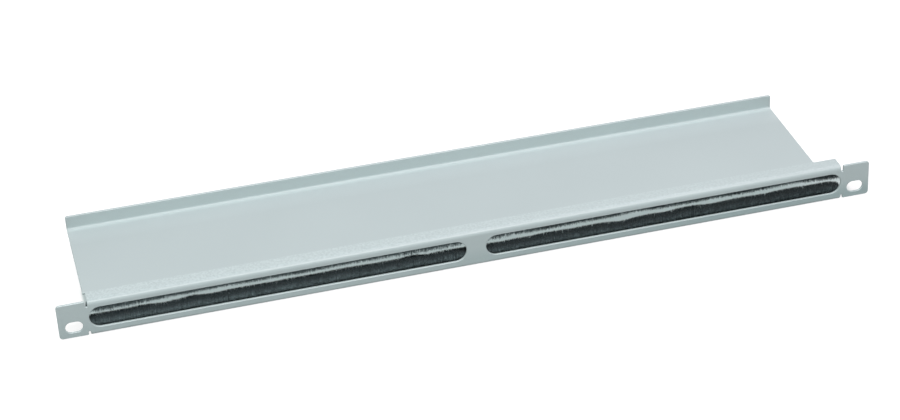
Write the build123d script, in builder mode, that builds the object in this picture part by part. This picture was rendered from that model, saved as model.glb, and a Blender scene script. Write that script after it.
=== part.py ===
"""Half-unit cable entry panel for a 19 inch rack: one folded sheet with two brush strips.

Millimetres. +X runs along the panel, to the right as seen from the front, +Y goes into the rack
and +Z is up. The origin is midway between the two screw slots, on the rear face of the ears,
which is the face that lies against the rack's rails.
"""

import os
from math import pi, sin

from build123d import *

os.makedirs("parts", exist_ok=True)

# Ears and screw slots
rack_width = 482.6  # over both ears
ear_width = 16.3
ear_height = 22.0
ear_corner_radius = 2.0
slot_edge = 8.75  # slot centre to the ear's outer edge
slot_rise = 6.65  # slot centre above the ear's lower edge
slot_length = 10.0
slot_width = 6.8

# Folded sheet
sheet = 1.5
edge_break = 0.3  # bevel that softens every cut edge
top_bend_radius = 1.5  # inside, also at the rear flange
lip_bend_radius = 0.5  # inside
lip_drop = 0.5  # lip's underside below the ears' lower edge
lip_margin = 4.4  # lip behind the lower brush strip
deck_reach = 80.7  # front face to the face of the rear flange
deck_right_setback = 15.0  # deck's right edge inside the right ear
flange_rise = 8.5  # rear flange above the deck
notch_width = 1.3  # relief between each ear and the folds
notch_overrun = 0.1  # relief's round end past the start of a bend
tab_margin = 1.5  # full-width front of the deck behind the upper brush strip
free_corner_radius = 1.2  # corners of the deck's tab, the lip and the rear flange
inner_corner_radius = 0.6  # corners cut into the deck

# Cable openings
bridge_width = 11.6  # metal between the two openings
opening_end_margin = 0.1  # opening's round end to the relief notch
opening_top_margin = 1.8  # opening to the start of the top bend
opening_bottom_margin = 2.8  # opening to the start of the lip's bend

# Brush strips
strip_end_gap = 0.4  # strip's end to the end of the folded plate
strip_bend_clearance = 0.1  # strip to the foot of the bend
tape_thickness = 0.5
tape_margin = 0.2  # backing past the tape, each side
backing_thickness = 1.0
backing_width = 5.2
pile_margin = 0.3  # backing past the bristles, each side
pile_end_margin = 0.2  # backing past the bristles, each end
end_splay = 1.4  # outermost tips past their own feet
parting_gap = 4.6  # between the two rows of tips
parting_rise = 0.45  # middle of the parting above midway between the backings
tuft_pitch = 1.6
tuft_depth = 0.2  # notch between two tufts
ripple_height = 0.1  # slow rise and fall of the tips
ripple_length = 58.0

# Planes and lines that the pieces share
front = -sheet
ear_inner = rack_width / 2 - ear_width
plate_half = ear_inner - notch_width
ear_bottom = -slot_rise
deck_top = ear_bottom + ear_height
deck_under = deck_top - sheet
lip_under = ear_bottom - lip_drop
lip_top = lip_under + sheet
top_bend_start = deck_under - top_bend_radius
lip_bend_start = lip_top + lip_bend_radius
lower_strip_front = lip_bend_radius + strip_bend_clearance
upper_strip_front = top_bend_radius + strip_bend_clearance
lip_end = lower_strip_front + backing_width + lip_margin
tab_end = upper_strip_front + backing_width + tab_margin
deck_right = ear_inner - deck_right_setback
flange_front = front + deck_reach
flange_top = deck_top + flange_rise

# Folded panel: sheet steel with a lip under the front plate, a deck behind it and a rear flange
opening_bottom = lip_bend_start + opening_bottom_margin
opening_top = top_bend_start - opening_top_margin
opening_length = plate_half - bridge_width / 2 - opening_end_margin
opening_centre = (bridge_width + opening_length) / 2
slot_centre = rack_width / 2 - slot_edge
notch_centre = ear_inner - notch_width / 2
top_notch_end = top_bend_start - notch_overrun - notch_width / 2
lip_notch_end = lip_bend_start + notch_overrun + notch_width / 2

with BuildPart() as panel:
    with BuildSketch(Plane.YZ) as front_fold:
        with BuildLine():
            FilletPolyline(
                (lip_end, lip_under),
                (front, lip_under),
                (front, deck_top),
                (tab_end, deck_top),
                radius=[lip_bend_radius + sheet, top_bend_radius + sheet],
            )
            offset(amount=sheet, side=Side.RIGHT)
        make_face()
    extrude(amount=ear_inner, both=True)

    with BuildSketch(Plane.YZ.offset(-ear_inner)) as rear_fold:
        with BuildLine():
            FilletPolyline(
                (tab_end, deck_top),
                (flange_front, deck_top),
                (flange_front, flange_top),
                radius=top_bend_radius,
            )
            offset(amount=sheet, side=Side.RIGHT)
        make_face()
    extrude(amount=ear_inner + deck_right)

    with BuildSketch(Plane.XZ) as ears:
        with Locations((0, ear_bottom + ear_height / 2)):
            RectangleRounded(rack_width, ear_height, ear_corner_radius)
            Rectangle(2 * ear_inner, ear_height, mode=Mode.SUBTRACT)
    extrude(amount=sheet)

    # Relief notches, with round ends, free the folds from the ears
    with BuildSketch(Plane.XZ.offset(-tab_end)) as top_notches:
        with Locations((0, top_notch_end + ear_height / 2)):
            with GridLocations(2 * notch_centre, 0, 2, 1):
                SlotOverall(ear_height, notch_width, rotation=90)
    extrude(amount=tab_end + sheet, mode=Mode.SUBTRACT)
    with BuildSketch(Plane.XZ.offset(-lip_end)) as lip_notches:
        with Locations((0, lip_notch_end - ear_height / 2)):
            with GridLocations(2 * notch_centre, 0, 2, 1):
                SlotOverall(ear_height, notch_width, rotation=90)
    extrude(amount=lip_end + sheet, mode=Mode.SUBTRACT)

    with BuildSketch(Plane.XZ) as openings:
        with Locations((0, (opening_bottom + opening_top) / 2)):
            with GridLocations(2 * opening_centre, 0, 2, 1):
                SlotOverall(opening_length, opening_top - opening_bottom)
        with GridLocations(2 * slot_centre, 0, 2, 1):
            SlotOverall(slot_length, slot_width)
    extrude(amount=sheet, mode=Mode.SUBTRACT)

    def upright_corners(y):
        """Corners of the level sheet that lie on the line y, from left to right."""
        return panel.edges().filter_by(Axis.Z).filter_by_position(Axis.Y, y, y).sort_by(Axis.X)

    # Of the four corners at the back of the tab, the middle two are cut into the deck
    fillet(upright_corners(tab_end)[1:3], radius=inner_corner_radius)
    flange_corners = panel.edges().filter_by(Axis.Y).filter_by_position(Axis.Z, flange_top, flange_top)
    free_corners = [upright_corners(tab_end)[-1], *upright_corners(lip_end), *flange_corners]
    fillet(free_corners, radius=free_corner_radius)

    def is_sharp(edge):
        """True where the two faces at an edge don't run smoothly into each other."""
        one, other = panel.faces().filter_by(lambda face: edge in face.edges())
        return one.normal_at(edge @ 0.5).dot(other.normal_at(edge @ 0.5)) < 0.5

    chamfer(panel.edges().filter_by(is_sharp), length=edge_break)

panel.part.label = "panel"
export_step(panel.part, "parts/panel.step")

# Brush strips: self-adhesive tape, a plastic backing and a row of bristles set in it.
# The lower strip stands on the lip and the upper one hangs from the deck, tips to tips.
strip_length = 2 * (plate_half - strip_end_gap)
mean_pile = (deck_under - lip_top - parting_gap) / 2 - tape_thickness - backing_thickness
pile_half = strip_length / 2 - pile_end_margin


def tip_height(x, pile_length, phase):
    """Bristle length at x: two slow waves of unlike length on top of the pile's own length."""
    slow = sin(2 * pi * x / ripple_length + phase)
    quick = sin(5 * pi * x / ripple_length - 2 * phase)
    return pile_length + ripple_height * (slow + quick) / 2


def tuft_outline(pile_length, phase):
    """Outline of a row of bristles: foot on the X axis, ends splayed, a point on every tuft."""
    tip_half = pile_half + end_splay
    tufts = round(2 * tip_half / tuft_pitch)
    step = tip_half / tufts
    tips = []
    for index in range(2 * tufts + 1):
        x = -tip_half + index * step
        side = 1 if index % 2 else -1
        tips.append((x, tip_height(x, pile_length, phase) + side * tuft_depth / 2))
    return [(-pile_half, 0), *tips, (pile_half, 0)]


def brush_strip(name, strip_front, seat, up, phase):
    """Tape, backing and bristles of one strip on the plane z = seat, growing along up (1 or -1)."""
    strip_middle = strip_front + backing_width / 2
    growth = Vector(0, 0, up)

    with BuildPart() as tape:
        with BuildSketch(Plane.XY.offset(seat)):
            with Locations((0, strip_middle)):
                Rectangle(strip_length, backing_width - 2 * tape_margin)
        extrude(amount=tape_thickness, dir=growth)

    backing_foot = seat + up * tape_thickness
    with BuildPart() as backing:
        with BuildSketch(Plane.XY.offset(backing_foot)):
            with Locations((0, strip_middle)):
                Rectangle(strip_length, backing_width)
        extrude(amount=backing_thickness, dir=growth)

    pile_foot = backing_foot + up * backing_thickness
    pile_width = backing_width - 2 * pile_margin
    pile_plane = Plane((0, strip_middle, pile_foot), x_dir=(1, 0, 0), z_dir=(0, -up, 0))
    with BuildPart() as bristles:
        with BuildSketch(pile_plane):
            with BuildLine():
                Polyline(*tuft_outline(mean_pile + up * parting_rise, phase), close=True)
            make_face()
        extrude(amount=pile_width / 2, both=True)

    for piece, kind in ((tape, "tape"), (backing, "backing"), (bristles, "bristles")):
        piece.part.label = f"{name}_{kind}"
        export_step(piece.part, f"parts/{name}_{kind}.step")


brush_strip("lower", lower_strip_front, lip_top, up=1, phase=0.4)
brush_strip("upper", upper_strip_front, deck_under, up=-1, phase=2.1)
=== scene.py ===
import math

import bpy
import numpy as np
from mathutils import Matrix, Vector


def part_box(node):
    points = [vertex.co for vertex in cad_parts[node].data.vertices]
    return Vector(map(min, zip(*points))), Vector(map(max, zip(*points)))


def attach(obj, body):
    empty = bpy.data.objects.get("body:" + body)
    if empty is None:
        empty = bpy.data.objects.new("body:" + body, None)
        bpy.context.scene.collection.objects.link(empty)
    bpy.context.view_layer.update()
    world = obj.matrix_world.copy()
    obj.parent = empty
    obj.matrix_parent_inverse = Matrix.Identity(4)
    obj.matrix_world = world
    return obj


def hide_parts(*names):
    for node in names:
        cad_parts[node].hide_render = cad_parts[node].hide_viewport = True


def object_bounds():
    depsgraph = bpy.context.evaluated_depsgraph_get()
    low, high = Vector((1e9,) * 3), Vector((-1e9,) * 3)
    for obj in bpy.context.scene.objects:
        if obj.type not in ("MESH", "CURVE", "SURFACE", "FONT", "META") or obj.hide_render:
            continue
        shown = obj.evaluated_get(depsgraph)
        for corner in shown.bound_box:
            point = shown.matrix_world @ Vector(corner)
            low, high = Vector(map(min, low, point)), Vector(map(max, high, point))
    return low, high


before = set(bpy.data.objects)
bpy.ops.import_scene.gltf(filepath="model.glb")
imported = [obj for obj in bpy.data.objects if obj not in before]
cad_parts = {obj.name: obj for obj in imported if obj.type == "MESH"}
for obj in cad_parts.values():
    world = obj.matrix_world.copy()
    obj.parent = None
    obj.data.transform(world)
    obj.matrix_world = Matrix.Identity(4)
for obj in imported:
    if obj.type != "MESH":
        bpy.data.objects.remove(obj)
cad_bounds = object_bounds()

# Standpoint
# The camera stands above the panel and a little to its left, with a long lens, tilted slightly
# sideways. Place and angles come from fitting the panel's corners to the photograph.
camera_place = (-0.27871, -1.15420, 0.74570)
camera_heading = math.radians(12.918)  # to the right of straight into the rack
camera_pitch = math.radians(31.081)  # below level
camera_roll = math.radians(-3.309)
camera_lens = 97.38  # millimetres
sensor_width = 36.0  # millimetres
clip_near, clip_far = 0.01, 50.0

camera = bpy.data.objects.new("camera", bpy.data.cameras.new("camera"))
camera.data.lens = camera_lens
camera.data.sensor_width = sensor_width
camera.data.clip_start = clip_near
camera.data.clip_end = clip_far
turn = Matrix.Rotation(-camera_heading, 4, "Z") @ Matrix.Rotation(math.pi / 2 - camera_pitch, 4, "X")
camera.matrix_world = Matrix.Translation(camera_place) @ turn @ Matrix.Rotation(camera_roll, 4, "Z")
bpy.context.scene.collection.objects.link(camera)
bpy.context.scene.camera = camera

# Folded panel
# One sheet of steel, cut flat and folded three times: lip, front plate, deck and rear flange. It is
# powder coated light grey, with a fine orange peel. Painted into the coat's colour are highlights
# along the deck's two folds, speckled at the front one, and shade low on the plate towards its right.
sheet = -cad_bounds[0].y  # thickness, because the ears' rear faces lie on y = 0
deck_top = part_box("upper_tape")[1].z + sheet
coat_pale = (0.466, 0.555, 0.560, 1.0)
coat_deep = (0.448, 0.535, 0.540, 1.0)
cloud_size = 0.09  # slow drift of the coat's shade
cloud_detail = 3.0
noise_low, noise_high = 0.3, 0.7  # nearly all of a noise's values lie between these
peel_size = 0.0011  # one dimple of the orange peel
peel_detail = 1.5
peel_depth = 0.000022
peel_roughness = (0.28, 0.40)  # from the bottom of a dimple to its rim
front_highlight_pale = (0.560, 0.662, 0.666, 1.0)  # painted highlight along the front fold, speckled
front_highlight_deep = (0.462, 0.556, 0.560, 1.0)
band_grain = 0.0013
band_detail = 2.0
band_low, band_high = 0.35, 0.65  # noise values of the deepest and palest speckles
band_start, band_end = 0.0092, 0.0076  # fades in over this stretch of the deck
band_drop = 0.0008  # fades out again over this height below the deck's top
front_highlight_strength = (1.0, 0.45)  # at the left and right ends
rear_highlight_pale = (0.555, 0.650, 0.655, 1.0)  # painted highlight, smooth, before the rear flange
rear_start, rear_end = 0.0550, 0.0800  # the stretch of the deck that it lies in
# Places across the rear painted highlight and its strength at each
rear_highlight_places = [(0.0600, 0.0), (0.0700, 0.45), (0.0752, 0.45), (0.0772, 1.0), (0.0781, 1.0), (0.0788, 0.0)]
painted_foot_shade = (0.345, 0.447, 0.452, 1.0)  # painted shade low on the front plate
foot_start, foot_end = 0.0060, -0.0040  # deepens down this height
foot_left, foot_right = -0.050, 0.150  # grows along this stretch of the plate
foot_shade_strength = (0.3, 1.0)  # at its two ends
face_clear, face_flat = 0.00028 - sheet, 0.00002 - sheet  # past the openings' bevels, and on the face
bend_start, bend_full = -0.0054, -0.0062  # heights at the start of the lower fold and well round it


def feed(tree, socket, value):
    """Link an output into a socket, or set a plain value on it."""
    if isinstance(value, bpy.types.NodeSocket):
        tree.links.new(value, socket)
    else:
        socket.default_value = value


def new_material(name):
    """An empty node material with an output, its Principled BSDF and Object coordinates."""
    material = bpy.data.materials.new(name)
    material.use_nodes = True
    tree = material.node_tree
    tree.nodes.clear()
    output = tree.nodes.new("ShaderNodeOutputMaterial")
    shader = tree.nodes.new("ShaderNodeBsdfPrincipled")
    place = tree.nodes.new("ShaderNodeTexCoord")
    feed(tree, output.inputs["Surface"], shader.outputs["BSDF"])
    return material, tree, shader, place.outputs["Object"]


def add_node(tree, kind, settings=None, **inputs):
    """A node of that kind, with its settings, whose named inputs take a link or a plain value."""
    made = tree.nodes.new(kind)
    for key, value in (settings or {}).items():
        setattr(made, key, value)
    for name, value in inputs.items():
        feed(tree, made.inputs[name.replace("_", " ")], value)
    return made


def add_math(tree, operation, first, second):
    """The value that a math node gives for two links or plain numbers."""
    made = add_node(tree, "ShaderNodeMath", {"operation": operation})
    feed(tree, made.inputs[0], first)
    feed(tree, made.inputs[1], second)
    return made.outputs["Value"]


def add_range(tree, value, start, end, low=0.0, high=1.0, smooth=False):
    """A number that goes from low to high as the value goes from start to end, and stays there."""
    made = add_node(
        tree, "ShaderNodeMapRange", {"interpolation_type": "SMOOTHSTEP" if smooth else "LINEAR"},
        Value=value, From_Min=start, From_Max=end, To_Min=low, To_Max=high,
    )
    return made.outputs["Result"]


def add_noise(tree, place, size, detail):
    """A noise's value at a place, with blotches of that size and that many finer layers in them."""
    return add_node(tree, "ShaderNodeTexNoise", Vector=place, Scale=1 / size, Detail=detail).outputs["Fac"]


def add_ramp(tree, value, stops):
    """A colour ramp over a value, with a colour at each stop."""
    ramp = add_node(tree, "ShaderNodeValToRGB", Fac=value)
    points = ramp.color_ramp.elements
    while len(points) < len(stops):
        points.new(0.5)
    for point, (position, colour) in zip(points, stops):
        point.position, point.color = position, colour
    return ramp.outputs["Color"]


def add_mix(tree, factor, first, second):
    """The colour that lies a factor of the way from the first colour to the second."""
    made = add_node(tree, "ShaderNodeMix", {"data_type": "RGBA"}, Factor=factor)
    feed(tree, made.inputs[6], first)  # the node's sockets for two colours, after those for other kinds
    feed(tree, made.inputs[7], second)
    return made.outputs[2]


def add_bump(tree, shader, height, depth):
    """Raise and lower a shader's surface by a height from zero to one, over that depth."""
    bump = add_node(tree, "ShaderNodeBump", Height=height, Distance=depth)
    feed(tree, shader.inputs["Normal"], bump.outputs["Normal"])


def dress(node, material):
    """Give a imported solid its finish."""
    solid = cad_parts[node]
    solid.data.materials.clear()
    solid.data.materials.append(material)


coat, tree, shader, place = new_material("powder_coat")
axes = add_node(tree, "ShaderNodeSeparateXYZ", Vector=place)
along, into, above = axes.outputs["X"], axes.outputs["Y"], axes.outputs["Z"]

clouds = add_noise(tree, place, cloud_size, cloud_detail)
clouded = add_ramp(tree, clouds, [(noise_low, coat_deep), (noise_high, coat_pale)])

# Painted highlight, speckled, along the deck's front fold, weaker towards the right
on_front = add_range(tree, into, band_start, band_end, smooth=True)
weaker = add_range(tree, along, cad_bounds[0].x, cad_bounds[1].x, *front_highlight_strength)
on_top = add_range(tree, above, deck_top - band_drop, deck_top, high=weaker)
speckles = add_noise(tree, place, band_grain, band_detail)
speckled = add_ramp(tree, speckles, [(band_low, front_highlight_deep), (band_high, front_highlight_pale)])
front_highlighted = add_mix(tree, add_math(tree, "MULTIPLY", on_front, on_top), clouded, speckled)

# Painted highlight before the rear flange
rear_length = rear_end - rear_start
rear_stops = [((y - rear_start) / rear_length, (strength,) * 3 + (1.0,)) for y, strength in rear_highlight_places]
rear_highlight_strength = add_ramp(tree, add_range(tree, into, rear_start, rear_end), rear_stops)
folded = add_mix(tree, rear_highlight_strength, front_highlighted, rear_highlight_pale)

# Painted shade low on the front plate, growing towards the right
on_face = add_range(tree, into, face_clear, face_flat)
on_bend = add_range(tree, above, bend_start, bend_full)
on_plate = add_math(tree, "MAXIMUM", on_face, on_bend)
along_plate = add_range(tree, along, foot_left, foot_right, *foot_shade_strength)
down_plate = add_range(tree, above, foot_start, foot_end, smooth=True)
in_foot_shade = add_math(tree, "MULTIPLY", add_math(tree, "MULTIPLY", along_plate, down_plate), on_plate)
feed(tree, shader.inputs["Base Color"], add_mix(tree, in_foot_shade, folded, painted_foot_shade))

peel = add_noise(tree, place, peel_size, peel_detail)
feed(tree, shader.inputs["Roughness"], add_range(tree, peel, 0.0, 1.0, *peel_roughness))
add_bump(tree, shader, peel, peel_depth)
dress("panel", coat)

# Adhesive tape
# Two runs of thin black foam tape, closed-celled and matte. One lies on the lip and one hangs
# under the deck, and each holds a brush strip by its backing.
foam_dark = (0.055, 0.056, 0.058, 1.0)
foam_pale = (0.110, 0.111, 0.113, 1.0)
foam_roughness = 0.92
cell_size = 0.00022
cell_middle, cell_wall = 0.1, 0.7  # distances from a cell's middle, as shares of its size
cell_depth = 0.00004

foam, tree, shader, place = new_material("tape_foam")
cells = add_node(tree, "ShaderNodeTexVoronoi", Vector=place, Scale=1 / cell_size).outputs["Distance"]
foam_shade = add_ramp(tree, cells, [(cell_middle, foam_dark), (cell_wall, foam_pale)])
feed(tree, shader.inputs["Base Color"], foam_shade)
feed(tree, shader.inputs["Roughness"], foam_roughness)
add_bump(tree, shader, cells, cell_depth)
for node in ("lower_tape", "upper_tape"):
    dress(node, foam)

# Brush backing
# A narrow strip of black polypropylene that the filaments are welded into. It is extruded, so
# faint die lines run along its length.
backing_dark = (0.012, 0.013, 0.014, 1.0)
backing_pale = (0.030, 0.032, 0.034, 1.0)
backing_roughness = (0.42, 0.62)  # from the bottom of a die line to its ridge
die_line_stretch = (40.0, 5200.0, 5200.0)  # lines per metre along and across the strip
die_line_size = 1.0  # after that stretch
die_line_detail = 2.0
die_line_depth = 0.00003

backing, tree, shader, place = new_material("brush_backing")
drawn = add_node(tree, "ShaderNodeMapping", Vector=place, Scale=die_line_stretch)
lines = add_noise(tree, drawn.outputs["Vector"], die_line_size, die_line_detail)
backing_shade = add_ramp(tree, lines, [(noise_low, backing_dark), (noise_high, backing_pale)])
feed(tree, shader.inputs["Base Color"], backing_shade)
feed(tree, shader.inputs["Roughness"], add_range(tree, lines, 0.0, 1.0, *backing_roughness))
add_bump(tree, shader, lines, die_line_depth)
for node in ("lower_backing", "upper_backing"):
    dress(node, backing)

# Bristles
# Black nylon filaments, a fifth of a millimetre thick, standing close together in the backing.
# Their tips gather in small tufts, part here and there, and splay out at the strip's two ends.
# Greys are painted light on the lower row's front feet and the upper row's tips, and blacks the rest.
lit_grey_dark, lit_grey_pale = (0.110, 0.148, 0.158, 1.0), (0.520, 0.670, 0.700, 1.0)
black_dark, black_pale = (0.0085, 0.0160, 0.0185, 1.0), (0.0195, 0.0345, 0.0395, 1.0)
nylon_specular = 0.25
nylon_roughness = (0.50, 0.36)  # from the greys to the blacks
mottle_size = 0.0010
mottle_detail = 2.0
mottle_reach = 0.5  # how far the mottle moves a filament's shade, either way
# Shares of a filament's shade: its tuft's, its own, and painted light that grows the further left it stands
tuft_share, own_share, left_light_share = 0.15, 0.15, 0.7
lit_depth = 0.0016  # behind the row's front, where the filaments' feet no longer catch the light
fray_light = 55.0  # painted light on frayed tips, paler per metre that they are shortened
filament_radius = 0.00011
filament_columns = 1560  # along the strip
filament_rows = 16  # across it
ring_shares = np.array([0.0, 1.0])  # of a filament's length
ring_widths = np.array([1.0, 0.8])  # of its thickness
root_depth = 0.0001  # set into the backing
root_jitter = 0.45  # share of the pitch that a root moves, either way
end_margin = 0.0002  # backing past the outermost roots
end_splay = 0.0014
splay_fade = 0.003
side_fan = 0.3  # tips' way out to front and back, as a share of their roots' distance from the middle
ripple_height = 0.00010
ripple_waves = (214.0, 91.0)  # radians per metre
tuft_size = 0.0016
tuft_wander = 0.0006  # the tufts' borders wander along the strip
wander_waves = (830.0, 170.0)  # radians per metre
wander_bend = 3.0
tuft_pull = 0.04  # share of the way that tips move to their tuft's middle
tuft_lean = 0.00005
tuft_rise = 0.00004
depth_pull, depth_lean = 0.6, 0.7  # shares of the pull and the lean from front to back
shortfall_shape = (1.2, 2.0)  # of a beta draw, in which most fall a little short and few far
tip_stray = 0.00011

nylon, tree, shader, place = new_material("bristle_nylon")
shade_of = add_node(tree, "ShaderNodeAttribute", {"attribute_name": "shade"}).outputs["Fac"]
tone_of = add_node(tree, "ShaderNodeAttribute", {"attribute_name": "along"}).outputs["Fac"]
mottle = add_noise(tree, place, mottle_size, mottle_detail)
patches = add_range(tree, mottle, noise_low, noise_high, -mottle_reach, mottle_reach)
mottled = add_math(tree, "ADD", shade_of, patches)
grey_shade = add_ramp(tree, mottled, [(0.0, lit_grey_dark), (1.0, lit_grey_pale)])
black_shade = add_ramp(tree, mottled, [(0.0, black_dark), (1.0, black_pale)])
feed(tree, shader.inputs["Base Color"], add_mix(tree, tone_of, grey_shade, black_shade))
feed(tree, shader.inputs["Roughness"], add_range(tree, tone_of, 0.0, 1.0, *nylon_roughness))
feed(tree, shader.inputs["Specular IOR Level"], nylon_specular)


def bristle_mesh(name, roots, tips, turns, up, values):
    """Tapered three-sided filaments from roots to tips. A ring's middle lies at its share of the
    way from root to tip, and its three corners stand round it at the filament's turn. Both ends
    are closed. Values give one number for each ring of each filament."""
    count, rings, sides = len(roots), len(ring_shares), 3
    middles = roots[:, None, :] + (tips - roots)[:, None, :] * ring_shares[None, :, None]
    angles = turns[:, None] + up * np.arange(sides) * (2 * math.pi / sides)
    around = np.stack([np.cos(angles), np.sin(angles), np.zeros_like(angles)], axis=-1)
    widths = filament_radius * ring_widths
    points = middles[:, :, None, :] + around[:, None, :, :] * widths[None, :, None, None]

    ring, side = np.meshgrid(np.arange(rings - 1), np.arange(sides), indexing="ij")
    here, beside = ring * sides + side, ring * sides + (side + 1) % sides
    walls = np.stack([here, beside, beside + sides, here + sides], axis=-1).reshape(-1, 4)
    root_cap = np.arange(sides)[::-1]
    tip_cap = np.arange(sides) + (rings - 1) * sides
    corners = np.concatenate([walls.ravel(), root_cap, tip_cap])
    lengths = np.array([4] * len(walls) + [sides] * 2)
    starts = np.cumsum(lengths) - lengths

    mesh = bpy.data.meshes.new(name)
    mesh.vertices.add(count * rings * sides)
    mesh.vertices.foreach_set("co", points.astype(np.float32).ravel())
    each = np.arange(count)[:, None]
    mesh.loops.add(count * len(corners))
    mesh.loops.foreach_set("vertex_index", (corners + each * rings * sides).astype(np.int32).ravel())
    mesh.polygons.add(count * len(lengths))
    mesh.polygons.foreach_set("loop_start", (starts + each * len(corners)).astype(np.int32).ravel())
    mesh.polygons.foreach_set("use_smooth", np.ones(count * len(lengths), dtype=bool))
    for label, value in values.items():
        spread = np.repeat(value.astype(np.float32).ravel(), sides)
        mesh.attributes.new(label, "FLOAT", "POINT").data.foreach_set("value", spread)
    mesh.update(calc_edges=True)
    mesh.validate()
    return mesh


def bells(x, places):
    """The sum of bells over x, each with its own place, height and half width."""
    return sum(height * np.exp(-(((x - at) / width) ** 2)) for at, height, width in places)


def bristle_row(name, node, backing_node, up, seed, swells, frays, overlength, unevenness, tones):
    """A row of bristles on a jittered grid over the backing's face. A filament's length is the
    pile's, plus the overlength, every swell's bell, two slow ripples and a little for its tuft,
    less a random share of the unevenness and of the frays' bells. Its tip leans with its tuft, is
    pulled to the tuft's middle and strays a little, the row fans out to front and back, and at the
    ends the tips move out by the splay, which fades away from the end. Tones are how far the
    front feet, inner feet and tips go from the greys to the blacks."""
    rng = np.random.default_rng(seed)
    low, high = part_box(node)
    backing_low, backing_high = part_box(backing_node)
    half = backing_high.x - end_margin
    foot, tip_level = (backing_high.z, high.z) if up > 0 else (backing_low.z, low.z)
    pile = abs(tip_level - foot) + overlength
    pitch_x = 2 * half / filament_columns
    pitch_y = (high.y - low.y) / filament_rows
    column, line = np.meshgrid(np.arange(filament_columns), np.arange(filament_rows), indexing="ij")
    jitter = rng.uniform(-root_jitter, root_jitter, (2, column.size))
    x = -half + (column.ravel() + 0.5 + jitter[0]) * pitch_x
    y = low.y + (line.ravel() + 0.5 + jitter[1]) * pitch_y

    wander = tuft_wander * np.sin(wander_waves[0] * x + wander_bend * np.sin(wander_waves[1] * x + seed))
    tuft_column = np.floor((x + half + wander) / tuft_size).astype(int)
    tuft_column = tuft_column - tuft_column.min()
    tuft_line = np.floor((y - low.y) / tuft_size).astype(int)
    tuft = tuft_column * (tuft_line.max() + 1) + tuft_line
    tufts = tuft.max() + 1
    lean = rng.normal(0.0, tuft_lean, (tufts, 2))[tuft]
    rise = tuft_rise * rng.normal(0.0, 1.0, tufts)[tuft]
    tuft_shade = rng.uniform(0.0, 1.0, tufts)[tuft]
    tuft_x = -half + (tuft_column + 0.5) * tuft_size
    tuft_y = low.y + (tuft_line + 0.5) * tuft_size

    fray = bells(x, frays)
    ripple = ripple_height * (np.sin(x * ripple_waves[0] + seed) + np.sin(x * ripple_waves[1] - 2.0 * seed))
    shortfall = (unevenness + fray) * rng.beta(*shortfall_shape, x.size)
    length = pile + bells(x, swells) + ripple + rise - shortfall
    end_lean = np.sign(x) * end_splay * np.exp(-(half - np.abs(x)) / splay_fade)
    side_lean = side_fan * (y - (low.y + high.y) / 2)
    stray = rng.normal(0.0, tip_stray, (2, x.size))
    tip_x = x + tuft_pull * (tuft_x - x) + lean[:, 0] + end_lean + stray[0]
    tip_y = y + depth_pull * tuft_pull * (tuft_y - y) + depth_lean * lean[:, 1] + side_lean + stray[1]

    roots = np.stack([x, y, np.full_like(x, foot - up * root_depth)], axis=-1)
    tips = np.stack([tip_x, tip_y, foot + up * length], axis=-1)
    turns = rng.uniform(0.0, 2 * math.pi, x.size)
    own_shade = rng.uniform(0.0, 1.0, x.size)
    # Random shade by tuft and by filament, plus painted light that grows towards the row's left end
    shade = tuft_share * tuft_shade + own_share * own_shade + left_light_share * (0.5 - x / (2 * half))
    front_root, inner_root, tip = tones
    # Frayed tips get painted light
    tip = tip - fray_light * fray
    root = front_root + (inner_root - front_root) * np.clip((y - low.y) / lit_depth, 0.0, 1.0)
    values = {
        "shade": np.repeat(shade[:, None], len(ring_shares), axis=1),
        "along": root[:, None] + (tip - root)[:, None] * ring_shares[None, :],
    }
    piece = bpy.data.objects.new(name, bristle_mesh(name, roots, tips, turns, up, values))
    bpy.context.scene.collection.objects.link(piece)
    piece.data.materials.append(nylon)
    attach(piece, "root")
    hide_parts(node)


# Swells and frays: place along the strip, height and half width of each bell, from left to right
lower_swells = [
    (-0.196, 0.0003, 0.007), (-0.181, -0.0005, 0.006), (-0.164, 0.0005, 0.005), (-0.154, -0.0005, 0.006),
    (-0.096, -0.0003, 0.010), (-0.090, 0.0004, 0.035), (-0.036, 0.0008, 0.006), (-0.027, -0.0003, 0.004),
    (0.016, -0.0006, 0.008), (0.034, -0.0003, 0.006), (0.060, -0.0003, 0.020), (0.090, -0.0009, 0.007),
    (0.102, -0.0002, 0.012), (0.116, -0.0004, 0.004), (0.120, -0.0003, 0.100), (0.130, 0.0004, 0.007),
    (0.145, -0.0004, 0.006), (0.178, -0.0003, 0.007), (0.2245, -0.0018, 0.0035),
]
upper_swells = [
    (-0.212, 0.0008, 0.014), (-0.203, 0.0005, 0.012), (-0.197, 0.0005, 0.008), (-0.150, -0.0004, 0.014),
    (-0.072, -0.0004, 0.009), (-0.028, 0.0008, 0.022), (0.011, 0.0008, 0.008), (0.034, 0.0003, 0.008),
    (0.099, -0.0010, 0.008), (0.190, -0.0005, 0.012), (0.214, 0.0008, 0.012), (0.2215, 0.0006, 0.004),
]
upper_frays = [
    (-0.202, 0.0022, 0.012), (-0.030, 0.0038, 0.026), (0.017, 0.0034, 0.017), (0.198, 0.0015, 0.008),
]
# Tones: the lower row's front feet and the upper row's tips lean to the greys, which are painted light
bristle_row(
    "lower_brush", "lower_bristles", "lower_backing", up=1, seed=11, swells=lower_swells, frays=[],
    overlength=-0.00025, unevenness=0.00025, tones=(0.0, 1.0, 1.0),
)
bristle_row(
    "upper_brush", "upper_bristles", "upper_backing", up=-1, seed=23, swells=upper_swells, frays=upper_frays,
    overlength=0.0006, unevenness=0.0022, tones=(0.85, 0.85, 0.33),
)

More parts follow.
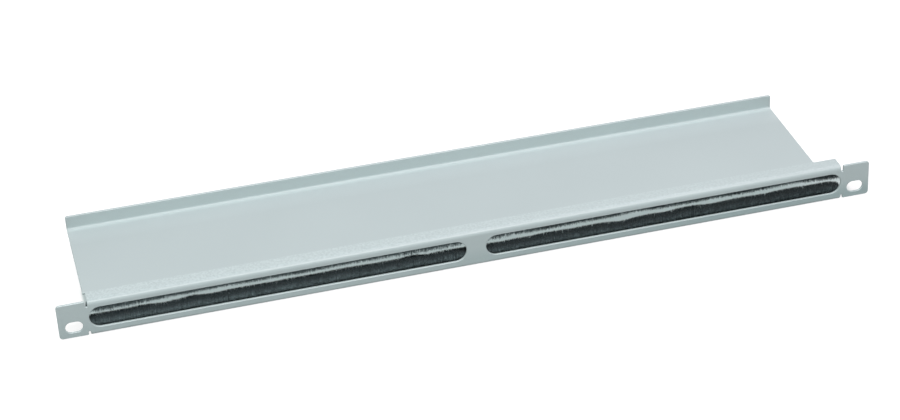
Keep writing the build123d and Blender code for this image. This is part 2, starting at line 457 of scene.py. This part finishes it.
# Floor and light
# A plain pale floor with a soft shade painted on it, under a strip lamp in front, a broad lamp
# overhead on the right, weak fills from the left and from behind, and an even white surround.
floor_drop = 0.0004  # below the panel
floor_half = 6.0
floor_roughness = 0.9
floor_pale = (0.34, 0.35, 0.35, 1.0)
floor_dim = (0.18, 0.19, 0.19, 1.0)  # in the shade
floor_open = (0.84, 0.84, 0.84, 1.0)  # what the plain lamps leave the open floor short of white
floor_shade = (0.378, 0.452, 0.452, 1.0)  # the same in the shade
shade_patches = [  # each side's line of no shade and line of full shade: left, right, front, back
    [(-0.2150, -0.1900), (0.2000, 0.1700), (0.0040, 0.0160), (0.0780, 0.0560)],  # below the deck
    [(-0.2249, -0.2225), (-0.1700, -0.1850), (0.0040, 0.0160), (0.0500, 0.0425)],  # left relief notch
    [(0.1550, 0.1700), (0.2355, 0.2295), (0.0000, 0.0060), (0.0430, 0.0290)],  # right end of the front
    [(0.2200, 0.2260), (0.2372, 0.2330), (0.0160, 0.0195), (0.0430, 0.0290)],  # behind the right ear
]
white = (1.0, 1.0, 1.0, 1.0)
surround_light = 0.12  # what the surround adds to the lamps
lamp_target = (0.0, 0.03, 0.0)

floor_height = cad_bounds[0].z - floor_drop
floor_corners = np.array([(-1, -1), (1, -1), (1, 1), (-1, 1)]) * floor_half
floor_mesh = bpy.data.meshes.new("floor")
floor_mesh.from_pydata(np.column_stack([floor_corners, np.full(4, floor_height)]), [], [(0, 1, 2, 3)])
floor = bpy.data.objects.new("floor", floor_mesh)
bpy.context.scene.collection.objects.link(floor)


def seen_directly(tree):
    """One for camera, glossy and transmission rays and nothing for light that falls on things."""
    path = tree.nodes.new("ShaderNodeLightPath")
    glossy = add_math(tree, "MAXIMUM", path.outputs["Is Camera Ray"], path.outputs["Is Glossy Ray"])
    return add_math(tree, "MAXIMUM", glossy, path.outputs["Is Transmission Ray"])


floor_paint, tree, shader, place = new_material("floor_paint")
axes = add_node(tree, "ShaderNodeSeparateXYZ", Vector=place)
shaded = 0.0
for patch in shade_patches:
    cover = 1.0
    for axis, (none, full) in zip("XXYY", patch):
        side = add_range(tree, axes.outputs[axis], none, full, smooth=True)
        cover = add_math(tree, "MULTIPLY", cover, side)
    shaded = add_math(tree, "MAXIMUM", shaded, cover)
feed(tree, shader.inputs["Base Color"], add_mix(tree, shaded, floor_pale, floor_dim))
feed(tree, shader.inputs["Roughness"], floor_roughness)
feed(tree, shader.inputs["Specular IOR Level"], 0.0)
feed(tree, shader.inputs["Emission Color"], add_mix(tree, shaded, floor_open, floor_shade))
feed(tree, shader.inputs["Emission Strength"], seen_directly(tree))
floor.data.materials.append(floor_paint)

world = bpy.data.worlds.new("surround")
bpy.context.scene.world = world
world.use_nodes = True
tree = world.node_tree
background = tree.nodes["Background"]
feed(tree, background.inputs["Color"], white)
feed(tree, background.inputs["Strength"], add_range(tree, seen_directly(tree), 0.0, 1.0, surround_light, 1.0))


def soft_lamp(name, place, size, watts, colour):
    """A rectangular area lamp of that size and colour at a place, facing the panel."""
    lamp = bpy.data.lights.new(name, "AREA")
    lamp.shape = "RECTANGLE"
    lamp.size, lamp.size_y = size
    lamp.energy = watts
    lamp.color = colour
    made = bpy.data.objects.new(name, lamp)
    made.location = place
    made.rotation_euler = (Vector(lamp_target) - Vector(place)).to_track_quat("-Z", "Y").to_euler()
    bpy.context.scene.collection.objects.link(made)


soft_lamp("front_lamp", (-0.05, -0.80, 1.20), size=(1.4, 0.2), watts=16.8, colour=(0.99, 1.0, 0.99))
soft_lamp("overhead_lamp", (0.55, -0.05, 1.25), size=(1.6, 1.0), watts=8.0, colour=(1.0, 0.83, 0.91))
soft_lamp("side_lamp", (-0.95, -0.65, 0.95), size=(0.5, 0.5), watts=2.1, colour=(0.93, 1.0, 0.97))
soft_lamp("rear_lamp", (-0.90, 0.95, 0.75), size=(0.8, 0.6), watts=3.0, colour=(1.0, 1.0, 1.0))

bpy.context.scene.view_settings.view_transform = "Standard"
